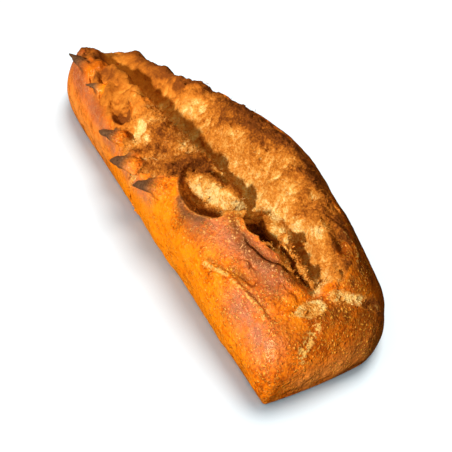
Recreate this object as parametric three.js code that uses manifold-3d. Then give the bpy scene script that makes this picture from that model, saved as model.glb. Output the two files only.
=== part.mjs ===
// A long hand-shaped loaf of crusty bread that burst open along its top as it baked, in millimetres.
// +X runs along the loaf to its square end, +Y across it to its high side, and +Z up. The origin is the
// middle of the flat underside's box. The loaf is one solid. Its body is a skin stretched over a field of
// distances, negative inside. Caves are cut from it, and lumps, burnt horns and strips are joined to it.
import * as THREE from "three";
import { mergeVertices } from "three/addons/utils/BufferGeometryUtils.js";
import Module from "manifold-3d";

// ---- driving dimensions: the body ---------------------------------------------------------------

const HALF_LENGTH = 196; // from the middle to either end
const END_BOW = 4; // how far the square end bows out between its corners
const PLAN_HALF = 58; // half width of the plan before it is stretched to the two walls
const CORNER = { sharp: 4, sharpGrowth: 0.3, square: 36, round: 44 }; // plan radii of the corners
const FOOT = { inset: 2.5, height: 14, edge: 3 }; // the walls draw in towards the underside
const WALL_SWELL = { out: 2, height: 26, reach: 14 }; // and swell out above it
const SHOULDER = { left: 24, right: 36, turn: 30 }; // rounding from wall to top, changing within turn
const CROWN_FALL = 7; // from the crown's middle line to the walls

// Curves along the loaf, each a list of [x, value].
const LEFT_WALL = [[-196, 51], [-173, 56], [-143, 59], [-93, 60], [7, 61], [196, 61.5]];
const RIGHT_WALL = [
  [-196, 7], [-173, 16], [-143, 23], [-103, 34], [-43, 52], [7, 63], [67, 67], [117, 60], [196, 48],
];
const CROWN_HEIGHT = [[-196, 43], [-163, 51], [-113, 57], [-53, 65], [7, 70], [67, 72], [127, 66], [196, 50]];

// ---- driving dimensions: the burst top ----------------------------------------------------------

// The opening is a valley along the top. Left of it stands a ridge, right of it the crumb swells up.
const OPENING_LINE = [
  [-196, -11], [-178, -12], [-158, -16], [-113, -11], [-73, -8], [7, -5], [47, 1], [87, -4], [127, 1],
  [167, -3],
];
const OPENING_DEPTH = [
  [-196, 9], [-158, 10], [-133, 15], [-53, 18], [57, 20], [127, 21], [149, 14], [160, 4], [168, 0],
];
const OPENING_SIDE = { left: 8, right: 17 }; // its left side is the steeper one
const RIDGE_RISE = [[-196, 3], [-181, 7], [-153, 10], [-53, 9], [7, 8], [127, 7], [157, 2], [172, 0]];
const RIDGE = { left: 20, width: 13 }; // how far left of the opening's line it stands, and how wide
const SWELL_RISE = [[-196, 3], [-113, 6], [-53, 11], [7, 17], [67, 19], [117, 14], [147, 7], [172, 0]];
const SWELL_OFFSET = [[-196, 14], [-173, 19], [-113, 29], [-53, 36], [160, 36]]; // right of the line
const SWELL_WIDTH = 0.64; // as a share of its offset

// Torn crumb lies between these two lines. Left of it the crust runs up to the horns and then to the lip of
// the ridge, and right of it crust covers the far shoulder.
const TORN_LEFT = [
  [-196, -38], [-117, -46], [-58, -53], [6, -53], [18, -44], [35, -26], [84, -23], [104, -22], [118, -15],
  [137, -14], [152, -8], [166, -4],
];
const TORN_RIGHT = [
  [-196, 9], [-143, 20], [-53, 36], [7, 42], [87, 47], [112, 42], [130, 38], [144, 36], [155, 26], [166, 11],
];

// Crags of torn crumb: rounded bumps and pits strewn over it, each within a range of sizes.
const CRAGS = { seed: 11, count: 150, from: -188, to: 160, radius: [5, 10], rise: [-3.2, 3.8], edge: 6 };

// Dips in the top, and swellings where the depth is negative: [x, y, half length, half width, depth].
const DIPS = [
  [-121, -36, 8, 6, 7],
  [-106, -40, 6, 5, -3],
  [-97, -34, 8, 7, 4],
  [-70, -31, 8, 5, -3],
  [-48, -41, 11, 8, 11],
  [-30, -31, 8, 6, -3],
  [-15, -42, 15, 11, 8],
  [-96, 23, 6, 12, 4],
  [-57, 27, 5, 14, 5],
  [-37, 33, 4, 10, 3],
  [93, 1, 15, 7.5, -12],
  [116, 13, 12, 7, 7],
  [138, 9, 13, 6.5, 6],
  [167, -10, 7, 12, 2.5],
];

// Swollen ribs of crumb beside the opening.
const RIBS = [
  { from: [70, 12], to: [100, 16], rise: 4, width: 6 },
  { from: [112, 22], to: [140, 20], rise: 3, width: 5 },
];

// Caves are ellipsoids cut from the body, turned about a vertical line by turn degrees: a hole in the
// ridge, the pocket that lumps of pale crumb stand in, the deep hole under the ridge's lip, and a gap
// torn along the lip.
const CAVES = [
  { centre: [-72, -43, 60], half: [9, 7.5, 12], turn: 0 },
  { centre: [56, -20.5, 71], half: [36, 25, 20], turn: 20 },
  { centre: [101, -14, 66], half: [16, 12, 18], turn: 8 },
  { centre: [132, -5, 53], half: [15, 3.4, 13], turn: 3 },
];
const LUMPS = [
  { centre: [44, -23, 61], half: [22, 9.5, 15], turn: 21 },
  { centre: [61, -15.5, 63], half: [12, 9.5, 14], turn: 21 },
];

// ---- driving dimensions: horns and strips -------------------------------------------------------

// Each is a leaf-shaped blade from root to tip. Its flat side faces along face, and its middle arches
// that way. half is its half width and half thickness at the widest place.
const HORN_FACE = [0, -0.5, 0.85];
const BLADES = [
  { root: [-135, -43, 58], tip: [-178, -47, 50], half: [4.5, 2.6], arch: 3.5, face: HORN_FACE },
  { root: [-110, -43, 57], tip: [-124, -54, 56], half: [4, 2.4], arch: 1, face: HORN_FACE },
  { root: [-50, -53, 52], tip: [-73, -64, 48], half: [5, 2.6], arch: 1.5, face: HORN_FACE },
  { root: [-16, -55, 51], tip: [-43, -68.5, 42], half: [6.5, 3], arch: 4, face: HORN_FACE },
  { root: [22, -51, 58], tip: [-1, -67, 50], half: [6.5, 3.2], arch: 3, face: HORN_FACE },
  { root: [86, -30, 75], tip: [84, 0, 62], half: [3.4, 1.8], arch: 3, face: [0.5, 0, 0.87] },
  { root: [110, 0, 59], tip: [154, -2, 55], half: [9.5, 2.4], arch: 0, face: [-0.1, 0.97, 0.2] },
];

// ---- driving dimensions: how finely the surface is divided --------------------------------------

// Rays to the surface start on a spine, which runs under the opening's line and fans them out at its ends.
const SPINE = { from: -150, to: 140, height: 18 };
const SPINE_STEPS = 60;
const FAN_STEPS = { toCorner: 6, pastCorner: 11, roundEnd: 13 };
const ARC_STEPS = 20; // from the spine's height on the wall up to the crown
const WALL_DROPS = [15, 8]; // rows of points below the spine's height
const UNDERSIDE_REACH = 9; // the outermost row of the underside is this far in from the wall
const BLADE_STEPS = 7;
const BLADE_SIDES = 8;
const ELLIPSOID_SIDES = 16;

// ---- small functions ----------------------------------------------------------------------------

const clamp = (value, low, high) => Math.min(Math.max(value, low), high);

const bell = (x) => Math.exp(-x * x);

function smoothStep(from, to, x) {
  const t = clamp((x - from) / (to - from), 0, 1);
  return t * t * (3 - 2 * t);
}

// The larger of two distances, with the edge between them rounded to a radius.
function roundMax(a, b, radius) {
  const outside = Math.hypot(Math.max(a + radius, 0), Math.max(b + radius, 0));
  return outside + Math.min(Math.max(a + radius, b + radius), 0) - radius;
}

// A smooth curve through stations [x, value], as a function of x.
function curve(stations) {
  const last = stations.length - 1;
  const rate = (i) => (stations[i + 1][1] - stations[i][1]) / (stations[i + 1][0] - stations[i][0]);
  const slopes = stations.map(([x], i) => {
    if (i === 0) return rate(0);
    if (i === last) return rate(last - 1);
    const before = x - stations[i - 1][0];
    const after = stations[i + 1][0] - x;
    return (rate(i) * before + rate(i - 1) * after) / (before + after);
  });
  return (where) => {
    const x = clamp(where, stations[0][0], stations[last][0]);
    let i = 0;
    while (i < last - 1 && x >= stations[i + 1][0]) i += 1;
    const step = stations[i + 1][0] - stations[i][0];
    const t = (x - stations[i][0]) / step;
    const share = t ** 2 * (3 - 2 * t);
    const value = stations[i][1] + share * (stations[i + 1][1] - stations[i][1]);
    return value + step * t * (1 - t) * ((1 - t) * slopes[i] - t * slopes[i + 1]);
  };
}

const leftWall = curve(LEFT_WALL);
const rightWall = curve(RIGHT_WALL);
const crownHeight = curve(CROWN_HEIGHT);
const openingLine = curve(OPENING_LINE);
const openingDepth = curve(OPENING_DEPTH);
const ridgeRise = curve(RIDGE_RISE);
const swellRise = curve(SWELL_RISE);
const swellOffset = curve(SWELL_OFFSET);
const tornLeft = curve(TORN_LEFT);
const tornRight = curve(TORN_RIGHT);

const middleLine = (x) => (rightWall(x) - leftWall(x)) / 2;

// Where y lies across the loaf, as if both walls stood PLAN_HALF from the middle.
const across = (x, y) => ((y - middleLine(x)) / (rightWall(x) + leftWall(x))) * 2 * PLAN_HALF;

// ---- the field ----------------------------------------------------------------------------------

// Distance to the walls, seen from above.
function wallDistance(x, y, z) {
  const v = across(x, y);
  const squareEnd = x > 0;
  const halfLength = HALF_LENGTH - (squareEnd ? END_BOW * (v / PLAN_HALF) ** 2 : 0);
  const sharp = CORNER.sharp + CORNER.sharpGrowth * z;
  const squareRadius = v > 0 ? CORNER.square : sharp;
  const radius = squareEnd ? squareRadius : CORNER.round;
  const plan = roundMax(Math.abs(x) - halfLength, Math.abs(v) - PLAN_HALF, radius);
  const inset = FOOT.inset * (1 - smoothStep(0, FOOT.height, z));
  return plan + inset - WALL_SWELL.out * bell((z - WALL_SWELL.height) / WALL_SWELL.reach);
}

function dipRise(x, y) {
  let rise = 0;
  for (const [atX, atY, long, wide, depth] of DIPS) {
    rise -= depth * bell(Math.hypot((x - atX) / long, (y - atY) / wide) ** 2);
  }
  return rise;
}

function ribRise(x, y) {
  let rise = 0;
  for (const rib of RIBS) {
    const run = [rib.to[0] - rib.from[0], rib.to[1] - rib.from[1]];
    const offset = [x - rib.from[0], y - rib.from[1]];
    const share = clamp((offset[0] * run[0] + offset[1] * run[1]) / (run[0] ** 2 + run[1] ** 2), 0, 1);
    const distance = Math.hypot(offset[0] - share * run[0], offset[1] - share * run[1]);
    rise += rib.rise * bell(distance / rib.width);
  }
  return rise;
}

// Numbers from 0 to 1 in a fixed random order.
function seededDraws(seed) {
  let state = seed;
  return () => {
    state = (state * 1664525 + 1013904223) % 2 ** 32;
    return state / 2 ** 32;
  };
}

function makeCrags() {
  const draw = seededDraws(CRAGS.seed);
  const between = (from, to) => from + (to - from) * draw();
  const crags = [];
  for (let i = 0; i < CRAGS.count; i += 1) {
    const x = between(CRAGS.from, CRAGS.to);
    const y = between(tornLeft(x), tornRight(x));
    crags.push({ x, y, radius: between(...CRAGS.radius), rise: between(...CRAGS.rise) });
  }
  return crags;
}

const crags = makeCrags();

// The crags fade out towards the edges of the torn crumb.
function cragRise(x, y) {
  const inLeft = smoothStep(0, CRAGS.edge, y - tornLeft(x));
  const inRight = smoothStep(0, CRAGS.edge, tornRight(x) - y);
  let rise = 0;
  for (const crag of crags) rise += crag.rise * bell(Math.hypot(x - crag.x, y - crag.y) / crag.radius);
  return rise * inLeft * inRight;
}

// Height of the top over a place in the plan.
function topHeight(x, y) {
  const beside = y - openingLine(x);
  const side = beside < 0 ? OPENING_SIDE.left : OPENING_SIDE.right;
  const crown = crownHeight(x) - CROWN_FALL * (across(x, y) / PLAN_HALF) ** 2;
  const ridge = ridgeRise(x) * bell((beside + RIDGE.left) / RIDGE.width);
  const swell = swellRise(x) * bell((beside - swellOffset(x)) / (SWELL_WIDTH * swellOffset(x)));
  const valley = openingDepth(x) * bell(beside / side);
  return crown + ridge + swell - valley + dipRise(x, y) + ribRise(x, y) + cragRise(x, y);
}

function field(x, y, z) {
  const turn = smoothStep(-SHOULDER.turn, SHOULDER.turn, across(x, y));
  const radius = SHOULDER.left + (SHOULDER.right - SHOULDER.left) * turn;
  const body = roundMax(wallDistance(x, y, z), z - topHeight(x, y), radius);
  return roundMax(body, -z, FOOT.edge);
}

// ---- the skin -----------------------------------------------------------------------------------

const MARCH = 1.5; // step along a ray before the surface is closed in on
const HALVINGS = 22;

// The first place along a ray from inside the loaf where the field turns positive.
function surfacePoint(start, direction, distanceField) {
  const at = (t) => start.clone().addScaledVector(direction, t);
  const value = (point) => distanceField(point.x, point.y, point.z);
  let outside = MARCH;
  while (value(at(outside)) < 0) outside += MARCH;
  let inside = outside - MARCH;
  for (let i = 0; i < HALVINGS; i += 1) {
    const middle = (inside + outside) / 2;
    if (value(at(middle)) < 0) inside = middle;
    else outside = middle;
  }
  return at(inside);
}

// Columns of rays, once round the loaf: along the left wall, round the square end, back along the
// right wall and round the other end. Each starts on the spine and leans out one way in the plan.
function columnStarts() {
  const columns = [];
  const addColumn = (x, bearing) => {
    const start = new THREE.Vector3(x, openingLine(x), SPINE.height);
    columns.push({ start, out: new THREE.Vector3(Math.sin(bearing), -Math.cos(bearing), 0) });
  };
  const addFan = (x, from, to, steps) => {
    for (let i = 0; i < steps; i += 1) addColumn(x, from + ((to - from) * i) / steps);
  };
  const spineX = (i) => SPINE.from + ((SPINE.to - SPINE.from) * i) / SPINE_STEPS;
  const cornerRun = [HALF_LENGTH - END_BOW - SPINE.to, leftWall(HALF_LENGTH) + openingLine(SPINE.to)];
  const corner = Math.atan2(...cornerRun);
  for (let i = 0; i < SPINE_STEPS; i += 1) addColumn(spineX(i), 0);
  addFan(SPINE.to, 0, corner, FAN_STEPS.toCorner);
  addFan(SPINE.to, corner, Math.PI, FAN_STEPS.pastCorner);
  for (let i = SPINE_STEPS; i > 0; i -= 1) addColumn(spineX(i), Math.PI);
  addFan(SPINE.from, Math.PI, 2 * Math.PI, FAN_STEPS.roundEnd);
  return columns;
}

// The rays of a column, from straight down to straight up. Up to the spine's height they aim at rows on
// the underside and the wall, and above it round a quarter ellipse up to the crown.
function columnPoints({ start, out }) {
  const wall = surfacePoint(start, out, wallDistance).distanceTo(start);
  const crown = crownHeight(start.x) - SPINE.height;
  const aims = [[0, -SPINE.height], [wall - UNDERSIDE_REACH, -SPINE.height]];
  for (const drop of WALL_DROPS) aims.push([wall, -drop]);
  for (let i = 0; i < ARC_STEPS; i += 1) {
    const angle = (Math.PI / 2) * (i / ARC_STEPS);
    aims.push([wall * Math.cos(angle), crown * Math.sin(angle)]);
  }
  aims.push([0, crown]);
  return aims.map(([run, rise]) => {
    const direction = out.clone().multiplyScalar(run).setZ(rise).normalize();
    const point = surfacePoint(start, direction, field);
    if (rise === -SPINE.height) point.setZ(0);
    return point;
  });
}

// A closed mesh from columns of points, the last column joined to the first. Triangles that have shrunk
// to a line, where columns meet, are left out.
function meshFromColumns(columns) {
  const positions = [];
  const addTriangle = (a, b, c) => {
    if (a.equals(b) || b.equals(c) || c.equals(a)) return;
    positions.push(...a.toArray(), ...b.toArray(), ...c.toArray());
  };
  columns.forEach((column, i) => {
    const next = columns[(i + 1) % columns.length];
    for (let row = 0; row + 1 < column.length; row += 1) {
      addTriangle(column[row], next[row], next[row + 1]);
      addTriangle(column[row], next[row + 1], column[row + 1]);
    }
  });
  const geometry = new THREE.BufferGeometry();
  geometry.setAttribute("position", new THREE.Float32BufferAttribute(positions, 3));
  return geometry;
}

// ---- caves, lumps, horns and strips -------------------------------------------------------------

const BLADE_START = -0.12; // a blade starts this share of its length before its root
const BLADE_TIP = 0.4; // half width and thickness that are left at the tip
const BLADE_SWELL = { least: 0.75, gain: 0.6, widthPower: 0.6, thicknessPower: 0.5 };

// The half width and half thickness of a blade at a share of its length.
function bladeHalf(half, share) {
  const s = clamp(share, 0, 1);
  const fullness = BLADE_SWELL.least + BLADE_SWELL.gain * s;
  return [
    half[0] * (1 - s) ** BLADE_SWELL.widthPower * fullness + BLADE_TIP,
    half[1] * (1 - s) ** BLADE_SWELL.thicknessPower + BLADE_TIP,
  ];
}

// Rings of an ellipse along the blade, closed at both ends, as columns round it.
function bladeGeometry({ root, tip, half, arch, face }) {
  const start = new THREE.Vector3(...root);
  const run = new THREE.Vector3(...tip).sub(start);
  const along = run.clone().normalize();
  const normal = new THREE.Vector3(...face);
  normal.addScaledVector(along, -normal.dot(along)).normalize();
  const sideways = new THREE.Vector3().crossVectors(normal, along);
  const centreAt = (share) => {
    const s = clamp(share, 0, 1);
    return start.clone().addScaledVector(run, share).addScaledVector(normal, 4 * arch * s * (1 - s));
  };
  const shares = [];
  for (let i = 0; i <= BLADE_STEPS; i += 1) shares.push(BLADE_START + ((1 - BLADE_START) * i) / BLADE_STEPS);
  const columns = [];
  for (let side = 0; side < BLADE_SIDES; side += 1) {
    const angle = (2 * Math.PI * side) / BLADE_SIDES;
    const column = shares.map((share) => {
      const [wide, thick] = bladeHalf(half, share);
      const offset = sideways.clone().multiplyScalar(wide * Math.cos(angle));
      return centreAt(share).add(offset).addScaledVector(normal, thick * Math.sin(angle));
    });
    columns.push([centreAt(shares[0]), ...column, centreAt(shares[BLADE_STEPS])]);
  }
  return meshFromColumns(columns);
}

function ellipsoidGeometry({ centre, half, turn }) {
  const geometry = new THREE.SphereGeometry(1, ELLIPSOID_SIDES, ELLIPSOID_SIDES / 2);
  return geometry.scale(...half).rotateZ(THREE.MathUtils.degToRad(turn)).translate(...centre);
}

// ---- joining and cutting ------------------------------------------------------------------------

const wasm = await Module();
wasm.setup();

const MERGE_TOLERANCE = 1e-3;

function solidFrom(geometry) {
  const bare = geometry.clone();
  bare.deleteAttribute("normal");
  bare.deleteAttribute("uv");
  const merged = mergeVertices(bare, MERGE_TOLERANCE);
  const vertProperties = merged.attributes.position.array;
  const triVerts = new Uint32Array(merged.index.array);
  return new wasm.Manifold(new wasm.Mesh({ numProp: 3, vertProperties, triVerts }));
}

function geometryFrom(solid) {
  const { vertProperties, triVerts } = solid.getMesh();
  const geometry = new THREE.BufferGeometry();
  geometry.setAttribute("position", new THREE.BufferAttribute(vertProperties, 3));
  geometry.setIndex(new THREE.BufferAttribute(triVerts, 1));
  geometry.computeVertexNormals();
  return geometry;
}

function loafGeometry() {
  let solid = solidFrom(meshFromColumns(columnStarts().map(columnPoints)));
  for (const cave of CAVES) solid = solid.subtract(solidFrom(ellipsoidGeometry(cave)));
  for (const lump of LUMPS) solid = solid.add(solidFrom(ellipsoidGeometry(lump)));
  for (const blade of BLADES) solid = solid.add(solidFrom(bladeGeometry(blade)));
  return geometryFrom(solid);
}

// ---- the loaf -----------------------------------------------------------------------------------

const crust = new THREE.MeshStandardMaterial({ color: 0xb5651d, roughness: 0.55, metalness: 0 });

const loaf = new THREE.Mesh(loafGeometry(), crust);
loaf.name = "loaf";

const group = new THREE.Group();
group.add(loaf);

export default group;
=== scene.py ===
"""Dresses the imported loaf. Its form is the part's own field of distances with finer relief: torn crumb with
bubbles, a crust with blisters and folds, and burnt horns. Flakes, fibres and tufts of crumb stand on the
torn places. The field works in millimetres, and the meshes are in metres."""
import math

import bpy
import numpy as np
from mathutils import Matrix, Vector


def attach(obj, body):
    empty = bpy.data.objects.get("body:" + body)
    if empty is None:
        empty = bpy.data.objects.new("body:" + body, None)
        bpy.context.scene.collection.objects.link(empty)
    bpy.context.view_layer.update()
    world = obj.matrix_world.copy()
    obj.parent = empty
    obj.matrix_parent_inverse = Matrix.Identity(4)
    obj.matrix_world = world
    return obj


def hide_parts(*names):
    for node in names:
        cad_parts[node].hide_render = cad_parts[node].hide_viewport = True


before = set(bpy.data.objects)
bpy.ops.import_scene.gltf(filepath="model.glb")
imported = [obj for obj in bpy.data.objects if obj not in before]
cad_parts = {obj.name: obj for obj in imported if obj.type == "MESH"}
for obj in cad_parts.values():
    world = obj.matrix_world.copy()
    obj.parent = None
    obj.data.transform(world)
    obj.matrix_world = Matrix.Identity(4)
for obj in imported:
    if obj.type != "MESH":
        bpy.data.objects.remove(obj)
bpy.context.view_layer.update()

MM = 0.001

# ---- the part's driving dimensions ----------------------------------------------------------------

HALF_LENGTH = 196
END_BOW = 4
PLAN_HALF = 58
CORNER = {"sharp": 4, "growth": 0.3, "square": 36, "round": 44}
FOOT = {"inset": 2.5, "height": 14, "edge": 3}
WALL_SWELL = {"out": 2, "height": 26, "reach": 14}
SHOULDER = {"left": 24, "right": 36, "turn": 30}
CROWN_FALL = 7

LEFT_WALL = [(-196, 51), (-173, 56), (-143, 59), (-93, 60), (7, 61), (196, 61.5)]
RIGHT_WALL = [
    (-196, 7), (-173, 16), (-143, 23), (-103, 34), (-43, 52), (7, 63), (67, 67), (117, 60), (196, 48),
]
CROWN_HEIGHT = [(-196, 43), (-163, 51), (-113, 57), (-53, 65), (7, 70), (67, 72), (127, 66), (196, 50)]
OPENING_LINE = [
    (-196, -11), (-178, -12), (-158, -16), (-113, -11), (-73, -8), (7, -5), (47, 1), (87, -4), (127, 1),
    (167, -3),
]
OPENING_DEPTH = [
    (-196, 9), (-158, 10), (-133, 15), (-53, 18), (57, 20), (127, 21), (149, 14), (160, 4), (168, 0),
]
OPENING_SIDE = {"left": 8, "right": 17}
RIDGE_RISE = [(-196, 3), (-181, 7), (-153, 10), (-53, 9), (7, 8), (127, 7), (157, 2), (172, 0)]
RIDGE = {"left": 20, "width": 13}
SWELL_RISE = [(-196, 3), (-113, 6), (-53, 11), (7, 17), (67, 19), (117, 14), (147, 7), (172, 0)]
SWELL_OFFSET = [(-196, 14), (-173, 19), (-113, 29), (-53, 36), (160, 36)]
SWELL_WIDTH = 0.64
TORN_LEFT = [
    (-196, -38), (-117, -46), (-58, -53), (6, -53), (18, -44), (35, -26), (84, -23), (104, -22), (118, -15),
    (137, -14), (152, -8), (166, -4),
]
TORN_RIGHT = [
    (-196, 9), (-143, 20), (-53, 36), (7, 42), (87, 47), (112, 42), (130, 38), (144, 36), (155, 26),
    (166, 11),
]
CRAGS = {"seed": 11, "count": 150, "span": (-188, 160), "radius": (5, 10), "rise": (-3.2, 3.8), "edge": 6}

# x, y, half length, half width and depth.
DIPS = [
    (-121, -36, 8, 6, 7), (-106, -40, 6, 5, -3), (-97, -34, 8, 7, 4), (-70, -31, 8, 5, -3),
    (-48, -41, 11, 8, 11), (-30, -31, 8, 6, -3), (-15, -42, 15, 11, 8), (-96, 23, 6, 12, 4),
    (-57, 27, 5, 14, 5), (-37, 33, 4, 10, 3), (93, 1, 15, 7.5, -12), (116, 13, 12, 7, 7),
    (138, 9, 13, 6.5, 6), (167, -10, 7, 12, 2.5),
]
# Ends, rise and width.
RIBS = [((70, 12), (100, 16), 4, 6), ((112, 22), (140, 20), 3, 5)]
# Ellipsoids: centre, half sizes and turn in degrees.
CAVES = [
    ((-72, -43, 60), (9, 7.5, 12), 0),
    ((56, -20.5, 71), (36, 25, 20), 20),
    ((101, -14, 66), (16, 12, 18), 8),
    ((132, -5, 53), (15, 3.4, 13), 3),
]
LUMPS = [((44, -23, 61), (22, 9.5, 15), 21), ((61, -15.5, 63), (12, 9.5, 14), 21)]
HORN_FACE = (0, -0.5, 0.85)
# Root, tip, half width and thickness, arch and the way that the flat side faces.
HORNS = [
    ((-135, -43, 58), (-178, -47, 50), (4.5, 2.6), 3.5, HORN_FACE),
    ((-110, -43, 57), (-124, -54, 56), (4, 2.4), 1, HORN_FACE),
    ((-50, -53, 52), (-73, -64, 48), (5, 2.6), 1.5, HORN_FACE),
    ((-16, -55, 51), (-43, -68.5, 42), (6.5, 3), 4, HORN_FACE),
    ((22, -51, 58), (-1, -67, 50), (6.5, 3.2), 3, HORN_FACE),
]
STRIPS = [
    ((86, -30, 75), (84, 0, 62), (3.4, 1.8), 3, (0.5, 0, 0.87)),
    ((110, 0, 59), (154, -2, 55), (9.5, 2.4), 0, (-0.1, 0.97, 0.2)),
]

# ---- small functions ------------------------------------------------------------------------------


def bell(x):
    return np.exp(-x * x)


def smooth_step(start, end, x):
    t = np.clip((x - start) / (end - start), 0, 1)
    return t * t * (3 - 2 * t)


def round_max(a, b, radius):
    past_a = np.maximum(a + radius, 0)
    past_b = np.maximum(b + radius, 0)
    return np.sqrt(past_a * past_a + past_b * past_b) + np.minimum(np.maximum(a, b) + radius, 0) - radius


def smooth_min(a, b, reach):
    share = np.clip(0.5 + 0.5 * (b - a) / reach, 0, 1)
    return b + (a - b) * share - reach * share * (1 - share)


def along(x, stations):
    """A smooth curve through stations (x, value)."""
    at = np.array([station[0] for station in stations], float)
    value = np.array([station[1] for station in stations], float)
    step = np.diff(at)
    rate = np.diff(value) / step
    inner = (rate[1:] * step[:-1] + rate[:-1] * step[1:]) / (step[:-1] + step[1:])
    slope = np.concatenate([rate[:1], inner, rate[-1:]])
    x = np.clip(x, at[0], at[-1])
    i = np.clip(np.searchsorted(at, x, side="right") - 1, 0, len(at) - 2)
    t = (x - at[i]) / step[i]
    start = (2 * t**3 - 3 * t**2 + 1) * value[i] + (t**3 - 2 * t**2 + t) * step[i] * slope[i]
    end = (3 * t**2 - 2 * t**3) * value[i + 1] + (t**3 - t**2) * step[i] * slope[i + 1]
    return start + end


# ---- the form -------------------------------------------------------------------------------------


def across(x, y):
    left, right = along(x, LEFT_WALL), along(x, RIGHT_WALL)
    return (y - (right - left) / 2) / (right + left) * 2 * PLAN_HALF


def wall_distance(x, v, z):
    near = x > 0
    half_length = HALF_LENGTH - near * END_BOW * (v / PLAN_HALF) ** 2
    near_radius = np.where(v > 0, CORNER["square"], CORNER["sharp"] + CORNER["growth"] * z)
    radius = np.where(near, near_radius, CORNER["round"])
    plan = round_max(np.abs(x) - half_length, np.abs(v) - PLAN_HALF, radius)
    inset = FOOT["inset"] * (1 - smooth_step(0, FOOT["height"], z))
    return plan + inset - WALL_SWELL["out"] * bell((z - WALL_SWELL["height"]) / WALL_SWELL["reach"])


def make_crags():
    state = CRAGS["seed"]

    def between(start, end):
        nonlocal state
        state = (state * 1664525 + 1013904223) % 2**32
        return start + (end - start) * state / 2**32

    crags = []
    for _ in range(CRAGS["count"]):
        x = between(*CRAGS["span"])
        y = between(float(along(x, TORN_LEFT)), float(along(x, TORN_RIGHT)))
        crags.append((x, y, between(*CRAGS["radius"]), between(*CRAGS["rise"])))
    return crags


def top_height(x, y):
    beside = y - along(x, OPENING_LINE)
    side = np.where(beside < 0, OPENING_SIDE["left"], OPENING_SIDE["right"])
    offset = along(x, SWELL_OFFSET)
    top = along(x, CROWN_HEIGHT) - CROWN_FALL * (across(x, y) / PLAN_HALF) ** 2
    top = top + along(x, RIDGE_RISE) * bell((beside + RIDGE["left"]) / RIDGE["width"])
    top = top + along(x, SWELL_RISE) * bell((beside - offset) / (SWELL_WIDTH * offset))
    top = top - along(x, OPENING_DEPTH) * bell(beside / side)
    for at_x, at_y, long, wide, depth in DIPS:
        top = top - depth * bell(np.hypot((x - at_x) / long, (y - at_y) / wide) ** 2)
    for start, end, rise, width in RIBS:
        run = (end[0] - start[0], end[1] - start[1])
        share = ((x - start[0]) * run[0] + (y - start[1]) * run[1]) / (run[0] ** 2 + run[1] ** 2)
        share = np.clip(share, 0, 1)
        distance = np.hypot(x - start[0] - share * run[0], y - start[1] - share * run[1])
        top = top + rise * bell(distance / width)
    inside = smooth_step(0, CRAGS["edge"], y - along(x, TORN_LEFT))
    inside = inside * smooth_step(0, CRAGS["edge"], along(x, TORN_RIGHT) - y)
    for at_x, at_y, radius, rise in make_crags():
        top = top + inside * rise * bell(np.hypot(x - at_x, y - at_y) / radius)
    return top


def ellipsoid_distance(x, y, z, ellipsoid):
    centre, half, turn = ellipsoid
    angle = math.radians(turn)
    dx, dy, dz = x - centre[0], y - centre[1], z - centre[2]
    dx, dy = dx * math.cos(angle) + dy * math.sin(angle), dy * math.cos(angle) - dx * math.sin(angle)
    scaled = np.sqrt((dx / half[0]) ** 2 + (dy / half[1]) ** 2 + (dz / half[2]) ** 2)
    steep = np.sqrt((dx / half[0] ** 2) ** 2 + (dy / half[1] ** 2) ** 2 + (dz / half[2] ** 2) ** 2)
    return scaled * (scaled - 1) / np.maximum(steep, 1e-6)


def blade_distance(x, y, z, blade):
    """Distance to a blade, and the share of its length reached."""
    root, tip, half, arch, face = blade
    run = np.subtract(tip, root)
    length = float(np.linalg.norm(run))
    tangent = run / length
    normal = np.subtract(face, np.dot(face, tangent) * tangent)
    normal = normal / np.linalg.norm(normal)
    side = np.cross(normal, tangent)
    offset = (x - root[0], y - root[1], z - root[2])
    share, wide, thick = (sum(offset[i] * axis[i] for i in range(3)) for axis in (tangent, side, normal))
    share = share / length
    held = np.clip(share, 0, 1)
    thick = thick - 4 * arch * held * (1 - held)
    half_wide = half[0] * (1 - held) ** 0.85 * (1.0 + 0.5 * held) + 0.25
    half_thick = half[1] * (1 - held) ** 0.6 + 0.25
    past = (share - held) * length / half_thick
    distance = (np.sqrt((wide / half_wide) ** 2 + (thick / half_thick) ** 2 + past**2) - 1) * half_thick
    return distance, share


def polyline_distance(x, y, z, points):
    """Distance to a line through points, and the share of the way along it."""
    nearest, place = 1e6, 0
    for i in range(len(points) - 1):
        run = np.subtract(points[i + 1], points[i])
        offset = (x - points[i][0], y - points[i][1], z - points[i][2])
        share = np.clip(sum(offset[k] * run[k] for k in range(3)) / float(run @ run), 0, 1)
        distance = np.sqrt(sum((offset[k] - share * run[k]) ** 2 for k in range(3)))
        place = np.where(distance < nearest, (i + share) / (len(points) - 1), place)
        nearest = np.minimum(nearest, distance)
    return nearest, place


# ---- finer forms that only the scene shows ----------------------------------------------------------

# Lines in the crust: the long fold on the left shoulder, a fold's gap beside the ridge, two pale tears at the
# near end, and the rim of a leaf of crust on the right.
FOLD = [(99, -54), (107, -51), (119, -46.5), (135, -43.7), (144, -42.3), (156, -40), (163, -41.5)]
CREVICE = [(104, -28.5), (112, -28), (120, -26), (127, -24.5), (132, -21.5), (136, -16), (141, -13)]
TORN_BAND = [(168.5, 8, 55.5), (170.5, 13, 54), (173, 19, 51), (176, 28, 45.5), (178, 38, 36)]
STREAK = [(190, -32), (185, -23), (180, -14)]
RIM = [(104, 21), (118, 28), (130, 35.6), (138, 39.7), (145, 40), (151.5, 35)]
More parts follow.
